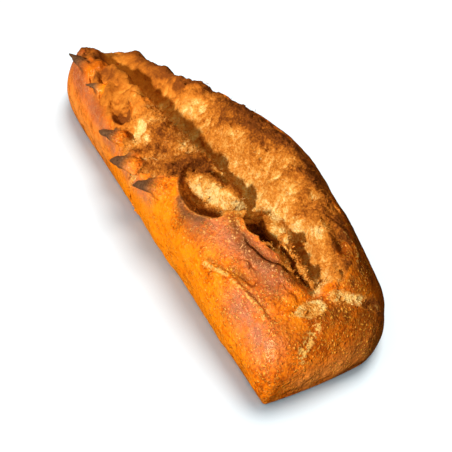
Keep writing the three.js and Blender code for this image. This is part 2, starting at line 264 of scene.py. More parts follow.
# Grooves pressed or torn into the surface, or folds that stand up if negative: points, depth and half width.
# A point with no height lies on the surface.
GROOVES = [
    (FOLD, 2.2, 1.1),
    ([(x, y - 3.2) for x, y in FOLD], -1.5, 2.0),
    ([(118, -45), (126, -42.3), (133, -40), (138, -38.5)], 4.0, 1.9),
    ([(108, -46), (114, -44.5)], 2.4, 1.5),
    ([(x, y - 3.0) for x, y in CREVICE[1:6]], -2.2, 2.2),
    ([(120, -57), (134, -54), (150, -52), (168, -52)], 1.2, 1.6),
    ([(130, -48), (146, -47.5), (160, -50)], 1.4, 1.4),
    ([(112, -38), (122, -35), (133, -31)], 1.3, 1.2),
    (TORN_BAND, 2.6, 4.5),
    (STREAK, 0.9, 2.2),
    (RIM, -2.0, 1.3),
    ([(146, -30), (156, -24), (166, -20), (172, -18)], -1.5, 2.0),
    ([(143, -24), (154, -19), (162, -15)], 1.8, 1.4),
    ([(-12, 12), (1.5, 18.4), (15.6, 24.5), (32, 29), (49, 33), (63, 33.5), (72, 37.5), (79, 45)], -1.8, 3.5),
    ([(-117, -43), (-103, -33), (-88, -26)], 3.0, 2.6),
    ([(-97, -45), (-88, -38), (-80, -31)], 2.0, 2.4),
    ([(-62, -44), (-58, -36), (-52, -28)], 2.4, 2.4),
]
# Deep narrow slits: points, depth and half width.
SLITS = [
    (CREVICE, 4.0, 1.4),
    ([(118, -45), (126, -42.3), (133, -40), (138, -38.5)], 2.5, 0.9),
]
# Blisters that stand up: centre, half sizes and turn.
BULGES = [
    ((122, -37, 65), (4.5, 3, 3), 20),
    ((159, 2, 54), (3, 2.4, 3), 0),
    ((97, 1, 57), (14, 9, 8), 4),
]
# Blunt hollows: centre, half sizes and turn.
PITS = [
    ((193, -26, 38), (2.2, 2.2, 2.2), 0),
    ((197, 1, 26), (2, 2, 2), 0),
    ((196, 22, 30), (1.6, 1.6, 1.6), 0),
    ((197, -31, 23), (2.4, 2.4, 2.4), 0),
]
LEAF = ((145, 31, 69), (9, 6.5, 6), 25)
SMOOTH_HOLLOWS = [
    ((105, 14, 69), (4.5, 5.5, 4), 0),
    ((125, 21, 74), (3, 3.5, 3), 0),
    LEAF,
    ((-51, -46, 54), (6.5, 5, 7), 10),
]
CRATER = ((168, -10.5, 62), (9, 18, 7.5), -4)
HOLLOWS = PITS + SMOOTH_HOLLOWS + [CRATER]
# The crater's bare crumb in plan: a drop that widens from its tip, from the least half width by the growth.
BARE = {
    "middle": (169, -14.5), "half": 12.5, "least": 1.5, "growth": 4.8, "tip": (-27, -16), "squareness": 2.5,
}
# How softly each kind of form runs into what it joins or cuts.
JOIN = {"cave": 2.5, "lump": 2, "bulge": 2, "hollow": 1, "slit": 0.6, "bubble": 0.8, "blade": 4}
# The torn crumb's edge: half its width, the noise that it wanders by, and where it ends along the loaf.
TORN_EDGE = {"half": 1.5, "wander": [(21, 9, 2.2), (22, 3.5, 1.2)], "near": (165, 158), "far": (-190, -180)}
RELIEF_STARTS = (1, 9)
# Layers of relief: noise seed, spacing of its lattice and rise.
CRUMB_LAYERS = [(1, (10, 12, 12), 1.0), (2, (4.6, 6.4, 6.4), 1.0), (3, (2.4, 3.4, 3.4), 0.95)]
CRUMB_GRAIN = (4, 1.7, 0.4)
CRUST_LAYERS = [(5, 24, 0.55), (6, 8, 0.28), (7, 3.2, 0.14)]
LOBES = (10, 5.2, 1.1)
BLADE_RELIEF = {"seed": 8, "spacing": 3, "horn": 0.25, "bridge": 0.4, "fringe": 1.3}
# Bubbles that the tearing opened, each centred near the surface.
BUBBLES = {"seed": 31, "count": 140, "radius": (0.8, 2.4), "sunk": (-0.6, 0.4), "stretch": 1.3}
# Slips of crumb: how many, random seed, rings of corners, sizes, curl in radians and lean outwards.
SLIPS = {
    "crumb_flakes": {
        "count": 9500, "seed": 41, "rings": 3, "length": (0.8, 1.9), "width": (0.4, 1.0), "thick": 0.22,
        "curl": (0.3, 1.3), "outward": 0.4,
    },
    "crumb_fibres": {
        "count": 5400, "seed": 42, "rings": 5, "length": (2, 6), "width": (0.25, 0.45), "thick": 0.22,
        "curl": (0.5, 2.8), "outward": 0.3,
    },
    "crumb_tufts": {
        "count": 320, "seed": 43, "rings": 5, "length": (1.4, 4), "width": (0.8, 2.4), "thick": 0.4,
        "curl": (0.9, 2.8), "outward": 0.4,
    },
}
# Where the crust is tinted: points of a line, width and strength.
# Mauve is the burnt crust's own purple-brown along the horns and the far end, and partly painted sheen: a
# pinkish reflection on the ear and on the near end's top left.
MAUVE_AND_SHEEN = [
    ([(-172, -49, 47), (-118, -55, 47), (-60, -62, 41), (-20, -64, 42), (12, -61, 47)], 8, 0.9),
    ([(72, -48, 70), (84, -44, 73), (112, -33, 73), (142, -25, 66)], 11, 1),
    ([(-188, -30, 42), (-168, -44, 46)], 13, 1.0),
    ([(140, -53, 53), (176, -52, 46)], 12, 1),
]
# Dark lines are partly the crust's own red-brown and partly painted shade: the first three lines, on the
# right shoulder and the near end's right side that face away from the key light, the line by the near right
# corner from (150, 40), and the lines along the fold, the crevice and the slit at (118, -45).
DARK_AND_SHADE = [
    ([(-100, 38, 40), (-40, 52, 56), (20, 58, 66), (80, 60, 68)], 14, 0.45),
    ([(80, 60, 68), (130, 50, 58), (160, 40, 52)], 16, 1.0),
    ([(100, 66, 30), (150, 56, 30), (180, 40, 28), (192, 20, 28)], 20, 0.9),
    ([(-150, -36, 60), (-128, -36, 60)], 8, 0.4),
    ([(-110, -50, 50), (-88, -54, 48)], 8, 0.5),
    ([(58, -54, 58), (78, -49, 64)], 9, 0.5),
    ([(86, -29), (104, -32), (122, -30), (136, -22), (148, -15)], 4.5, 0.95),
    ([(176, -8), (180, 8), (184, 24)], 12, 0.9),
    ([(-188, -28, 46), (-168, -38, 52), (-145, -44, 55)], 7, 0.5),
    ([(-165, -48, 47), (-118, -54, 47), (-60, -61, 41)], 6, 0.35),
    ([(150, 40), (160, 32), (166, 24)], 8, 1),
    (FOLD, 1.5, 0.7),
    (CREVICE, 2.0, 1.0),
    ([(118, -45), (126, -42.3), (138, -38.5)], 3, 0.9),
    ([(128, -34), (142, -31), (156, -30)], 5, 0.5),
    ([(174, -34), (186, -22), (190, 0)], 9, 0.45),
    ([(138, 28), (148, 32)], 8, 1.0),
]
PALE = [
    (TORN_BAND, 5, 0.35),
    (STREAK, 4, 0.6),
    (RIM[2:], 1.2, 0.5),
    ([(x, y - 3) for x, y in FOLD], 1.8, 0.6),
    ([(88, -26), (96, -28), (103, -26), (110, -22)], 1.2, 0.5),
]
# The pocket's rim is charred; the line along the crevice is painted shadow under its fold.
CHARRED_AND_SHADOW = [
    ([(42, -48), (48, -49.5), (56, -50), (66, -47.5), (72, -44)], 3.2, 0.8),
    (CREVICE, 1.3, 0.3),
]
# Where the crust stayed tan.
TAN = [
    ([(197, -30, 16), (197, 0, 18), (194, 26, 20), (180, 44, 20)], 13, 1.0),
    ([(-178, -53, 26), (-130, -60, 24), (-80, -60, 22)], 14, 0.9),
]
# Where the crumb is browner than elsewhere, or paler if negative: place, radius and strength.
# Four places are painted shade: the deep hole under the ridge's lip at (101, -16) and (90, -8), the pocket's
# lower left at (62, -34) and the pit at (-72, -43).
TOASTED_AND_SHADED = [
    ((-45, -36, 58), 9, -1.2), ((-80, 15, 64), 9, 0.5), ((-160, -30, 58), 14, 0.4),
    ((-107, 14, 60), 12, 0.4), ((-20, -30, 62), 18, 0.2), ((20, -30, 60), 12, 0.3),
    ((85, 34, 86), 16, 0.3), ((40, 30, 86), 16, 0.15), ((20, -22, 74), 14, 0.2),
    ((105, 14, 66), 6, -0.3), ((101, -16, 52), 13, 0.6), ((62, -34, 54), 9, 0.5),
    ((90, -8, 55), 10, 0.55), ((-72, -43, 55), 9, 0.5), ((-14, 15, 74), 9, 0.25),
    ((143, 31, 66), 9, 0.5), ((158, 30, 58), 8, 0.35), ((-35, 22, 74), 9, 0.35),
]
# The same along lines: points, width and strength.
BROWNED = [
    ([(-20, 30, 80), (28, 24, 84), (51, 36, 88), (73, 45, 86), (106, 42, 80)], 7, 0.35),
    ([(-60, 34, 72), (-20, 42, 76), (40, 46, 82)], 10, 0.3),
    ([(104, 24, 76), (118, 33, 76), (132, 40, 70)], 8, 0.3),
    ([(-170, 8, 54), (-110, 22, 64), (-60, 34, 72)], 9, 0.25),
    ([(30, -30, 74), (18, -38, 68)], 6, 0.4),
    ([(-135, -34, 60), (-108, -33, 60)], 8, 0.1),
    ([(-12, 16, 74), (15, 29, 84), (49, 38, 88), (72, 43, 84)], 4, 0.2),
    ([(-20, -44, 60), (-5, -34, 68), (15, -28, 74)], 5, 0.35),
]
# How brown the crumb is, from 0, pale, to 1, dark: the whole, what each place adds, and the strips' own. Some
# of it is painted shade: the pocket's left, the lumps' foot and the dark lines; the floor's paler share is
# partly painted light.
TOAST_AND_SHADE = {
    "whole": 0.42, "relief": 0.13, "swell": 0.16, "swell_side": 0.12, "far_end": 0.32,
    "ridge": 0.08, "ridge_far_end": 0.22, "floor": -0.2, "floor_far_end": -0.18,
    "pocket": -0.15, "pocket_left_shade": 0.55, "lump": -0.4, "lump_cap": 0.6, "lump_foot_shade": 0.5,
    "crater": -0.3, "crater_relief": -0.02, "band": -0.02, "band_relief": 0.3, "strip": 0.42, "dark_and_shade": 0.3,
}

# ---- the grid and its noise -----------------------------------------------------------------------

STEP = 0.8
LOW = np.array([-203.0, -75.0, -4.0])
HIGH = np.array([203.0, 75.0, 100.0])
COUNT = np.ceil((HIGH - LOW) / STEP).astype(int) + 1
AXES = [(LOW[i] + STEP * np.arange(COUNT[i])).astype(np.float32) for i in range(3)]


def spline_weights(places, spacing):
    """Weights of a row of evenly spaced numbers at each place, by cubic B-splines."""
    at = (places - places[0]) / spacing + 1
    first = np.floor(at).astype(int)
    t = at - first
    parts = [(1 - t) ** 3, 3 * t**3 - 6 * t**2 + 4, -3 * t**3 + 3 * t**2 + 3 * t + 1, t**3]
    weights = np.zeros((len(places), first.max() + 3), np.float32)
    for i, part in enumerate(parts):
        weights[np.arange(len(places)), first - 1 + i] = part / 6
    return weights


def noise(seed, *spacing):
    """Smooth noise over the grid, mostly from -2 to 2, with a lattice spacing for each axis."""
    spacing = spacing * 3 if len(spacing) == 1 else spacing
    weights = [spline_weights(AXES[i], spacing[i]) for i in range(3)]
    lattice = np.random.default_rng(seed).standard_normal([w.shape[1] for w in weights])
    lattice = lattice.astype(np.float32)
    for w in weights:
        lattice = np.tensordot(lattice, w, (0, 1))
    return lattice * 3


def flat_noise(seed, spacing):
    weights = [spline_weights(AXES[i], spacing) for i in range(2)]
    lattice = np.random.default_rng(seed).standard_normal([w.shape[1] for w in weights])
    lattice = lattice.astype(np.float32)
    return weights[0] @ lattice @ weights[1].T * 2.1


def box_around(low, high):
    """The grid cells between two corners, and their places."""
    start = np.clip(np.floor((np.array(low) - LOW) / STEP).astype(int), 0, COUNT)
    end = np.clip(np.ceil((np.array(high) - LOW) / STEP).astype(int) + 1, 0, COUNT)
    cells = tuple(slice(a, b) for a, b in zip(start, end))
    x, y, z = (AXES[i][cells[i]] for i in range(3))
    return cells, (x[:, None, None], y[None, :, None], z[None, None, :])


def sample(values, points):
    """Values of a grid at points, between its cells."""
    at = np.clip((points - LOW) / STEP, 0, COUNT - 1.001)
    cell = at.astype(int)
    t = at - cell
    total = 0
    for corner in np.ndindex(*[2] * values.ndim):
        index = tuple(cell[:, i] + corner[i] for i in range(values.ndim))
        share = 1
        for i in range(values.ndim):
            share = share * (t[:, i] if corner[i] else 1 - t[:, i])
        total = total + share * values[index]
    return total


# ---- the field over the grid ------------------------------------------------------------------------

flat_x, flat_y = AXES[0][:, None], AXES[1][None, :]
wander = sum(rise * flat_noise(seed, spacing) for seed, spacing, rise in TORN_EDGE["wander"])
edge = (-TORN_EDGE["half"], TORN_EDGE["half"])
torn = smooth_step(*edge, flat_y - along(flat_x, TORN_LEFT) + wander)
torn = torn * smooth_step(*edge, along(flat_x, TORN_RIGHT) - flat_y + wander)
torn = torn * smooth_step(*TORN_EDGE["near"], flat_x + wander) * smooth_step(*TORN_EDGE["far"], flat_x)
torn = torn.astype(np.float32)

grid_x, grid_z = AXES[0][:, None, None], AXES[2][None, None, :]
flat_v = across(flat_x, flat_y).astype(np.float32)
turn = smooth_step(-SHOULDER["turn"], SHOULDER["turn"], flat_v)
shoulder = (SHOULDER["left"] + (SHOULDER["right"] - SHOULDER["left"]) * turn).astype(np.float32)[:, :, None]
top = top_height(flat_x, flat_y).astype(np.float32)[:, :, None]
field = round_max(wall_distance(grid_x, flat_v[:, :, None], grid_z), grid_z - top, shoulder)
del top, turn


def ellipsoid_box(ellipsoid, margin):
    centre, half, _ = ellipsoid
    reach = np.array([max(half[:2]), max(half[:2]), half[2]]) + margin
    return box_around(np.subtract(centre, reach), np.add(centre, reach))


def line_box(points, margin):
    points = np.array(points, float)
    return box_around(points.min(0) - margin, points.max(0) + margin)


def cut(ellipsoid, margin, join):
    cells, place = ellipsoid_box(ellipsoid, margin)
    field[cells] = -smooth_min(-field[cells], ellipsoid_distance(*place, ellipsoid), join)


def add(ellipsoid, margin, join):
    cells, place = ellipsoid_box(ellipsoid, margin)
    field[cells] = smooth_min(field[cells], ellipsoid_distance(*place, ellipsoid), join)


for cave in CAVES:
    cut(cave, 5, JOIN["cave"])
for lump in LUMPS:
    add(lump, 5, JOIN["lump"])

# Torn crumb is rough where its cell walls stand up, and the crust is only a little uneven.
crumb_relief = sum(rise * (0.7 - np.abs(noise(seed, *spacing))) for seed, spacing, rise in CRUMB_LAYERS)
seed, spacing, rise = CRUMB_GRAIN
crumb_relief += rise * noise(seed, spacing)
crust_relief = sum(rise * noise(seed, spacing) for seed, spacing, rise in CRUST_LAYERS)
# The crumb is smoother towards the far end, and roughest on the ridge beside the pocket.
on_ridge = smooth_step(-6, -14, flat_y - along(flat_x, OPENING_LINE))
roughness = 1 - (0.65 - 0.5 * on_ridge) * smooth_step(-85, -125, flat_x)
roughness = roughness + 0.8 * bell((flat_x + 15) / 35) * on_ridge
roughness = roughness - 0.15 * bell((flat_x + 85) / 25) * on_ridge
crumb_relief *= roughness.astype(np.float32)[:, :, None]
# The ridge's far half is lobed.
lobed = smooth_step(-45, -75, flat_x) * on_ridge
lobed = lobed * smooth_step(-46, -38, flat_y) * smooth_step(-165, -145, flat_x)
seed, spacing, rise = LOBES
field -= rise * lobed.astype(np.float32)[:, :, None] * noise(seed, spacing)
# Lumps of crumb are rough all over, and the pocket and blunt hollows are smoother than what is round them.
lump_near = np.zeros(COUNT, np.float32)
smooth_near = np.zeros(COUNT, np.float32)
for lump in LUMPS:
    cells, place = ellipsoid_box(lump, 4)
    lump_near[cells] = np.maximum(lump_near[cells], smooth_step(4, 1, ellipsoid_distance(*place, lump)))
for cave in CAVES[:2] + SMOOTH_HOLLOWS:
    cells, place = ellipsoid_box(cave, 4)
    near = smooth_step(2.5, 0.5, ellipsoid_distance(*place, cave))
    smooth_near[cells] = np.maximum(smooth_near[cells], near)
smooth_near *= 1 - lump_near
cells, place = ellipsoid_box(CRATER, 4)
in_bowl = smooth_step(1.5, 0.5, ellipsoid_distance(*place, CRATER))
lump_near[cells] = np.maximum(lump_near[cells], in_bowl)
share = np.maximum(torn[:, :, None] * (1 - 0.75 * smooth_near), lump_near * 0.9)
above = smooth_step(*RELIEF_STARTS, grid_z)
field -= above * (share * (crumb_relief - 1.0) + (1 - share) * crust_relief)
del lump_near, smooth_near, crust_relief, share

ground = AXES[2][COUNT[2] - 1 - np.argmax(field[:, :, ::-1] < 0, axis=2)]


def draped(line):
    """A line's points, laid on the surface where only their place in plan is given."""
    if len(line[0]) == 3:
        return line
    share = np.linspace(0, 1, 4, endpoint=False)[:, None]
    places = [np.array(a) + share * np.subtract(b, a) for a, b in zip(line, line[1:])] + [np.array(line[-1:])]
    places = np.concatenate(places).astype(float)
    heights = sample(ground, np.column_stack([places, np.zeros(len(places))]))
    return [(float(px), float(py), float(pz)) for (px, py), pz in zip(places, heights)]


for line, depth, width in GROOVES:
    points = draped(line)
    cells, place = line_box(points, 3 * width)
    distance, at = polyline_distance(*place, points)
    ends = smooth_step(0, 0.12, at) * smooth_step(1, 0.88, at)
    field[cells] += depth * ends * bell(distance / width)
for line, depth, half in SLITS:
    points = np.array(draped(line))
    cells, place = box_around(points.min(0) - (3, 3, depth + 3), points.max(0) + 4)
    distance, at = polyline_distance(place[0], place[1], 0.0, points * (1, 1, 0))
    floor_height = np.interp(at * (len(points) - 1), np.arange(len(points)), points[:, 2])
    floor_height = floor_height - depth * smooth_step(0, 0.15, at) * smooth_step(1, 0.85, at)
    gap = np.maximum(distance - half, floor_height - place[2])
    field[cells] = -smooth_min(-field[cells], gap, JOIN["slit"])
for bulge in BULGES:
    add(bulge, 3, JOIN["bulge"])
for hollow in HOLLOWS:
    cut(hollow, 3, JOIN["hollow"])

draw = np.random.default_rng(BUBBLES["seed"])
smallest, largest = BUBBLES["radius"]
surface = COUNT[2] - 1 - np.argmax(field[:, :, ::-1] < 0, axis=2)
made = 0
while made < BUBBLES["count"]:
    i = int(draw.integers(COUNT[0]))
    j = int(draw.integers(COUNT[1]))
    size = smallest + (largest - smallest) * draw.random() ** 2.5
    sunk = draw.uniform(*BUBBLES["sunk"])
    if torn[i, j] < 0.5:
        continue
    centre = (float(AXES[0][i]), float(AXES[1][j]), float(AXES[2][surface[i, j]]) - sunk * size)
    bubble = (centre, (size, size * BUBBLES["stretch"], size), 0)
    cells, place = line_box([centre], size * BUBBLES["stretch"] + 2)
    field[cells] = -smooth_min(-field[cells], ellipsoid_distance(*place, bubble), JOIN["bubble"])
    made += 1

small = noise(BLADE_RELIEF["seed"], BLADE_RELIEF["spacing"])
bridge, fringe = STRIPS
for blades, kind in ((HORNS, "horn"), ([bridge], "bridge"), ([fringe], "fringe")):
    for blade in blades:
        cells, place = line_box(blade[:2], 14)
        distance, _ = blade_distance(*place, blade)
        distance = distance - BLADE_RELIEF[kind] * small[cells]
        field[cells] = smooth_min(field[cells], distance, JOIN["blade"])
field = round_max(field, -grid_z, FOOT["edge"]).astype(np.float32)


# ---- the loaf's mesh --------------------------------------------------------------------------------


def surface_quads(values):
    """Quads over the surface where a grid of values changes sign, closed and facing out."""
    inside = values < 0
    strides = np.array([values.shape[1] * values.shape[2], values.shape[2], 1])
    flat = values.ravel()
    cells, places, quads = [], [], []
    for axis in range(3):
        low, high = [slice(None)] * 3, [slice(None)] * 3
        low[axis], high[axis] = slice(0, -1), slice(1, None)
        index = np.argwhere(inside[tuple(low)] != inside[tuple(high)])
        start = index @ strides
        before, after = flat[start], flat[start + strides[axis]]
        place = index.astype(np.float32)
        place[:, axis] += before / (before - after)
        one, two = [k for k in range(3) if k != axis]
        corners = []
        for step_one, step_two in ((0, 0), (1, 0), (1, 1), (0, 1)):
            cell = index.copy()
            cell[:, one] -= step_one
            cell[:, two] -= step_two
            corners.append(cell @ strides)
            cells.append(corners[-1])
            places.append(place)
        quad = np.stack(corners, 1)
        turned = (before < 0) ^ (axis == 1)
        quad[~turned] = quad[~turned][:, ::-1]
        quads.append(quad)
    places = np.concatenate(places)
    ids, which, counts = np.unique(np.concatenate(cells), return_inverse=True, return_counts=True)
    points = np.stack([np.bincount(which, places[:, k]) / counts for k in range(3)], 1)
    return LOW + points * STEP, np.searchsorted(ids, np.concatenate(quads))


def new_object(name, points, faces):
    """An object from points in millimetres and faces, all of one number of corners."""
    mesh = bpy.data.meshes.new(name)
    mesh.vertices.add(len(points))
    mesh.vertices.foreach_set("co", (points * MM).astype(np.float32).ravel())
    corners = faces.shape[1]
    mesh.loops.add(faces.size)
    mesh.loops.foreach_set("vertex_index", faces.astype(np.int32).ravel())
    mesh.polygons.add(len(faces))
    mesh.polygons.foreach_set("loop_start", np.arange(0, faces.size, corners, dtype=np.int32))
    mesh.update(calc_edges=True)
    mesh.validate()
    mesh.polygons.foreach_set("use_smooth", np.ones(len(mesh.polygons), bool))
    obj = bpy.data.objects.new(name, mesh)
    bpy.context.scene.collection.objects.link(obj)
    return obj


def thin_out(obj, triangles):
    """Collapses edges until a mesh has about so many triangles."""
    now = sum(len(polygon.vertices) - 2 for polygon in obj.data.polygons)
    modifier = obj.modifiers.new("thin", "DECIMATE")
    modifier.ratio = min(1.0, triangles / now)
    whole = obj.data
    obj.data = bpy.data.meshes.new_from_object(obj.evaluated_get(bpy.context.evaluated_depsgraph_get()))
    obj.modifiers.clear()
    bpy.data.meshes.remove(whole)
    obj.data.name = obj.name
    obj.data.polygons.foreach_set("use_smooth", np.ones(len(obj.data.polygons), bool))


LOAF_TRIANGLES = 196000
points, quads = surface_quads(field)
loaf = new_object("loaf_crumb_and_crust", points, quads)
thin_out(loaf, LOAF_TRIANGLES)

# ---- what each place of the surface is --------------------------------------------------------------


def mesh_points(obj):
    points = np.empty(len(obj.data.vertices) * 3, np.float32)
    obj.data.vertices.foreach_get("co", points)
    return points.reshape(-1, 3).astype(float) / MM


def set_share(obj, name, values):
    attribute = obj.data.attributes.new(name, "FLOAT", "POINT")
    attribute.data.foreach_set("value", np.clip(values, 0, 1).astype(np.float32))


points = mesh_points(loaf)
x, y, z = points.T
beside = y - along(x, OPENING_LINE)
is_torn = sample(torn, points)
in_cave = np.zeros(len(points))
for cave in CAVES:
    in_cave = np.maximum(in_cave, smooth_step(2.2, 0.8, ellipsoid_distance(x, y, z, cave)))
on_lump = np.zeros(len(points))
for lump in LUMPS:
    on_lump = np.maximum(on_lump, smooth_step(4, 1.5, ellipsoid_distance(x, y, z, lump)))
relief = sample(crumb_relief, points)
half_wide = BARE["least"] + BARE["growth"] * smooth_step(*BARE["tip"], y)
in_crater = np.abs((x - BARE["middle"][0]) / half_wide) ** BARE["squareness"]
in_crater = in_crater + np.abs((y - BARE["middle"][1]) / BARE["half"]) ** BARE["squareness"]
in_crater = in_crater ** (1 / BARE["squareness"])
in_crater = smooth_step(1.05, 0.85, in_crater + 0.04 * relief) * (z > 40)
is_torn = is_torn * smooth_step(20, 30, z)
is_torn = np.maximum(is_torn, np.maximum(in_cave, np.maximum(on_lump, in_crater)))
band = bell(polyline_distance(x, y, z, TORN_BAND)[0] / 6)
is_torn = np.maximum(is_torn, smooth_step(0.4, 0.6, band + 0.12 * relief))
is_torn = is_torn * (1 - smooth_step(2, 0.5, ellipsoid_distance(x, y, z, LEAF)))
# Smooth crust shows in patches on the ridge's far half.
glazed = smooth_step(-50, -85, x) * smooth_step(-8, -14, beside)
glazed = glazed * smooth_step(-0.3, 0.3, sample(noise(9, 9), points))
is_torn = is_torn * (1 - 0.85 * glazed)

crest_and_floor_light = TOAST_AND_SHADE["swell"] * smooth_step(18, 42, beside) + TOAST_AND_SHADE["far_end"] * smooth_step(-50, -120, x)
crest_and_floor_light = np.where(beside < 0, TOAST_AND_SHADE["ridge"] + TOAST_AND_SHADE["ridge_far_end"] * smooth_step(-60, -120, x), crest_and_floor_light)
# The opening's floor is paler: partly the paler inner crumb, partly painted light that brightens the shade
# there.
floor_pale_and_light = TOAST_AND_SHADE["floor"] + TOAST_AND_SHADE["floor_far_end"] * smooth_step(0, -50, x)
crest_and_floor_light = crest_and_floor_light + floor_pale_and_light * bell((beside - 3) / 10)
crest_and_floor_light = crest_and_floor_light + TOAST_AND_SHADE["swell_side"] * smooth_step(60, 10, x) * (beside > 0)
toast_and_shade = TOAST_AND_SHADE["whole"] + crest_and_floor_light + TOAST_AND_SHADE["relief"] * relief
lump_cap = smooth_step(3.5, 10, 0.8 * (y + 31 - 0.4 * (x - 27)) + 0.6 * (z - 63))
toast_and_shade = toast_and_shade + TOAST_AND_SHADE["lump_cap"] * on_lump * lump_cap
toast_and_shade = toast_and_shade + TOAST_AND_SHADE["crater"] * in_crater + TOAST_AND_SHADE["band"] * band
toast_and_shade = toast_and_shade + (TOAST_AND_SHADE["band_relief"] * band + TOAST_AND_SHADE["crater_relief"] * in_crater) * relief
for centre, radius, strength in TOASTED_AND_SHADED:
    distance = np.sqrt(sum((points[:, k] - centre[k]) ** 2 for k in range(3)))
    toast_and_shade = toast_and_shade + strength * bell(distance / radius)
for line, width, strength in BROWNED:
    toast_and_shade = toast_and_shade + strength * bell(polyline_distance(x, y, z, line)[0] / width)
# The pocket's wall is darker on its left alone, as is the foot of its lumps: painted shade, where the rim
# shades them.
rim_shade_side = smooth_step(-6, 8, -y - 18 - 0.4 * (x - 50))
in_pocket = in_cave * (1 - on_lump) * smooth_step(96, 84, x)
toast_and_shade = toast_and_shade + (TOAST_AND_SHADE["pocket"] + TOAST_AND_SHADE["pocket_left_shade"] * rim_shade_side) * in_pocket
toast_and_shade = toast_and_shade + TOAST_AND_SHADE["lump"] * on_lump + TOAST_AND_SHADE["lump_foot_shade"] * on_lump * smooth_step(62, 54, z) * rim_shade_side

char = np.zeros(len(points))
for horn in HORNS:
    distance, at = blade_distance(x, y, z, horn)
    char = np.maximum(char, smooth_step(2.5, 1, distance) * smooth_step(-0.05, 0.5, at))
    is_torn = is_torn * (1 - smooth_step(2.5, 1, distance))
for strip in STRIPS:
    distance, at = blade_distance(x, y, z, strip)
    on_strip = smooth_step(2, 0.8, distance)
    toast_and_shade = toast_and_shade + on_strip * (TOAST_AND_SHADE["strip"] - toast_and_shade)


def tint(lines):
    """How much each point takes of a tint. A line with no heights tints the upper side alone."""
    share = np.zeros(len(points))
    for line, width, strength in lines:
        if len(line[0]) == 2:
            distance, _ = polyline_distance(x, y, 0.0, [(*point, 0.0) for point in line])
            distance = distance + 99 * (z < 30)
        else:
            distance, _ = polyline_distance(x, y, z, line)
        share = np.maximum(share, strength * bell(distance / width))
    return share


# The left wall, which faces the key light, is painted brighter orange as painted light, up to an edge that
# follows the relief.
up_and_down = 3 * relief
lit_wall = smooth_step(-32, -56, y + up_and_down) * smooth_step(62, 42, z + up_and_down)
lit_wall = lit_wall * smooth_step(165, 110, x) * smooth_step(-90, -30, x)
# The dark lines, partly painted shade, brown the crumb too.
toast_and_shade = toast_and_shade + TOAST_AND_SHADE["dark_and_shade"] * tint(DARK_AND_SHADE)
set_share(loaf, "torn", is_torn)
set_share(loaf, "toast_and_shade", toast_and_shade)
# The char share also carries the crevice's painted shadow.
set_share(loaf, "char", np.maximum(char, tint(CHARRED_AND_SHADOW) * (1 - on_lump)))
set_share(loaf, "painted_wall_light", lit_wall)
for name, lines in (("mauve_and_sheen", MAUVE_AND_SHEEN), ("dark_and_shade", DARK_AND_SHADE), ("pale", PALE), ("tan", TAN)):
    set_share(loaf, name, tint(lines))
# The texture is fainter towards the far end.
set_share(loaf, "grain", 0.3 + 0.7 * smooth_step(-110, 0, x))

# ---- slips of crumb ---------------------------------------------------------------------------------


def curled_slips(name, roots, count, seed, rings, length, width, thick, curl, outward):
    """Small closed slips of crumb, each a tapering curled strip that starts a little under the surface."""
    draw = np.random.default_rng(seed)
    place, away, toasted_and_shaded, chance = roots
    pick = draw.choice(len(place), count, p=chance)
    normal = away[pick]
    size = draw.random((count, 1)) ** 1.6
    reach = length[0] + (length[1] - length[0]) * size
    lean = normal * outward + draw.standard_normal((count, 3)) * 0.7
    lean = lean / np.linalg.norm(lean, axis=1, keepdims=True)
    lean = lean * np.where((lean * normal).sum(1, keepdims=True) < 0, -1, 1)
    bend = np.cross(lean, draw.standard_normal((count, 3)))
    bend = bend / np.linalg.norm(bend, axis=1, keepdims=True)
    curls = draw.uniform(*curl, (count, 1))
    widths = draw.uniform(*width, (count, 1))
    side = np.cross(lean, bend)
    twist = draw.uniform(0, math.pi, (count, 1))
    corners = []
    for ring in range(rings):
        share = ring / (rings - 1)
        angle = curls * share
        middle = place[pick] - normal * 0.4
        middle = middle + reach * (lean * np.sin(angle) + bend * (1 - np.cos(angle))) / curls
        ahead = lean * np.cos(angle) + bend * np.sin(angle)
        up = np.cross(side, ahead)
        taper = 0.35 + 0.65 * math.sin(math.pi * min(share * 0.85 + 0.15, 1)) ** 0.7
        half_wide = widths * taper / 2
        for corner in range(4):
            turn = math.pi / 2 * corner
            flat = side * np.cos(twist) + up * np.sin(twist)
            proud = up * np.cos(twist) - side * np.sin(twist)
            corners.append(middle + flat * half_wide * math.cos(turn) + proud * thick / 2 * math.sin(turn))
    faces = [[3, 2, 1, 0]]
    for start in range(0, 4 * (rings - 1), 4):
        for one, two in ((0, 1), (1, 2), (2, 3), (3, 0)):
            faces.append([start + one, start + two, start + 4 + two, start + 4 + one])
    last = 4 * (rings - 1)
    faces.append([last, last + 1, last + 2, last + 3])
    first = np.arange(count)[:, None, None] * rings * 4
    faces = (np.array(faces)[None] + first).reshape(-1, 4)
    obj = new_object(name, np.stack(corners, 1).reshape(-1, 3), faces)
    set_share(obj, "toast_and_shade", np.repeat(toasted_and_shaded[pick] + draw.normal(0, 0.1, count), rings * 4))
    return obj


def crumb_roots(obj, shares, toasted_and_shaded):
    """The middle, normal and toast of a mesh's faces, and how likely each face is to carry a slip."""
    mesh = obj.data
    count = len(mesh.polygons)
    centre, normal, area = np.empty(count * 3), np.empty(count * 3), np.empty(count)
    mesh.polygons.foreach_get("center", centre)
    mesh.polygons.foreach_get("normal", normal)
    mesh.polygons.foreach_get("area", area)
    first = np.empty(count, np.int32)
    mesh.polygons.foreach_get("loop_start", first)
    corner = np.empty(len(mesh.loops), np.int32)
    mesh.loops.foreach_get("vertex_index", corner)
    weight = area * shares[corner[first]]
    return centre.reshape(-1, 3) / MM, normal.reshape(-1, 3), toasted_and_shaded[corner[first]], weight / weight.sum()


